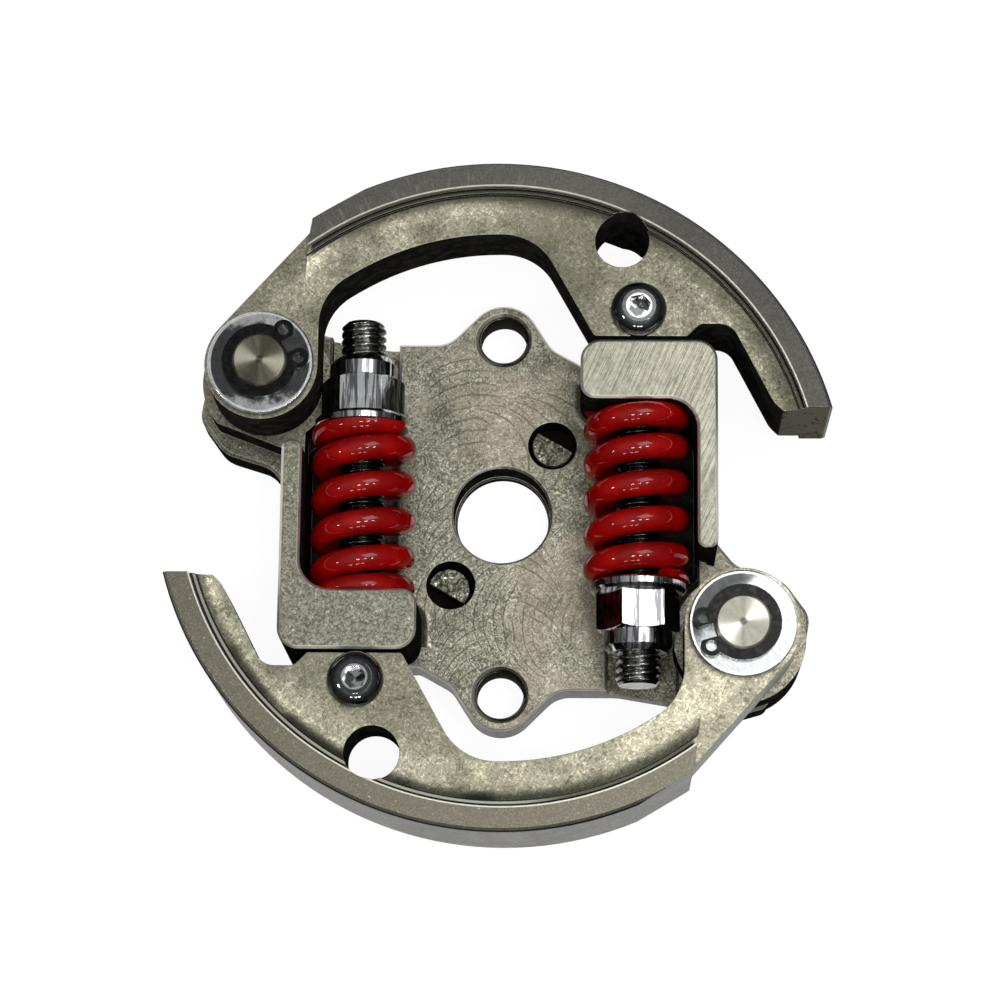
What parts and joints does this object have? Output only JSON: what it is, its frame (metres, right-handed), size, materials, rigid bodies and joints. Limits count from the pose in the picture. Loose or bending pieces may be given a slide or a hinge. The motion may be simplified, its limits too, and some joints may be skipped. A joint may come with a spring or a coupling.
{
  "type": "centrifugal clutch",
  "caption": "Small two-shoe centrifugal clutch with pivoting T-section shoes held in by coil springs on adjustable studs.",
  "frame": {"origin": "on the bore axis, in the plane of the hub's flat back face", "axes": "+Z along the bore axis towards the springs and shoes; +Y from the bore axis to the tapped hole in the lobe beside the upper shoe; +X to the right of +Y seen from +Z"},
  "size_m": [0.0724, 0.0746, 0.0177],
  "materials": {
    "hub_steel": "milled, satin, fine swirl marks",
    "shoe_steel": "ground, satin, fine random scratches",
    "pin_steel": "turned, satin",
    "drive_pin_steel": "rough broken top",
    "zinc_plate": "bright zinc plate",
    "circlip_steel": "black spring steel, satin",
    "stud_steel": "black oxide, threaded",
    "screw_steel": "dark polished",
    "nut_plate": "bright zinc plate",
    "nylon": "pale nylon",
    "spring_red": "glossy deep red paint"
  },
  "bodies": {
    "hub_body": {"hub": "hub_steel", "drive_pin_upper": "drive_pin_steel", "drive_pin_lower": "drive_pin_steel", "pivot_pin_upper": "pin_steel", "pivot_pin_lower": "pin_steel", "pivot_washer_upper": "zinc_plate", "pivot_washer_lower": "zinc_plate", "circlip_upper": "circlip_steel", "circlip_lower": "circlip_steel", "spring_upper": "spring_red", "spring_lower": "spring_red"},
    "shoe_upper_body": {"shoe_upper": "shoe_steel", "cross_screw_upper": "screw_steel"},
    "shoe_lower_body": {"shoe_lower": "shoe_steel", "cross_screw_lower": "screw_steel"},
    "stud_upper_body": {"tension_stud_upper": "stud_steel", "lock_nut_upper": "nut_plate", "nylon_insert_upper": "nylon"},
    "stud_lower_body": {"tension_stud_lower": "stud_steel", "lock_nut_lower": "nut_plate", "nylon_insert_lower": "nylon"}
  },
  "joints": [
    {"name": "shoe_upper_swing", "type": "hinge", "parent": "hub_body", "child": "shoe_upper_body", "pos_m": [-0.02639, 0.01449, 0.012], "axis": [0, 0, 1], "range_deg": [0, 3], "stiffness_Nm_per_rad": 350, "springref_deg": -2.06, "deforming": ["spring_upper"]},
    {"name": "stud_upper_swing", "type": "hinge", "parent": "shoe_upper_body", "child": "stud_upper_body", "pos_m": [0.0152, 0.02074, 0.011], "axis": [0, 0, 1], "range_deg": [-3, 0]},
    {"name": "shoe_lower_swing", "type": "hinge", "parent": "hub_body", "child": "shoe_lower_body", "pos_m": [0.02639, -0.01449, 0.012], "axis": [0, 0, 1], "range_deg": [0, 3], "stiffness_Nm_per_rad": 350, "springref_deg": -2.06, "deforming": ["spring_lower"]},
    {"name": "stud_lower_swing", "type": "hinge", "parent": "shoe_lower_body", "child": "stud_lower_body", "pos_m": [-0.0152, -0.02074, 0.011], "axis": [0, 0, 1], "range_deg": [-3, 0]}
  ],
  "couplings": [
    {"joint": "stud_upper_swing", "follows": "shoe_upper_swing", "ratio": -1},
    {"joint": "stud_lower_swing", "follows": "shoe_lower_swing", "ratio": -1}
  ]
}
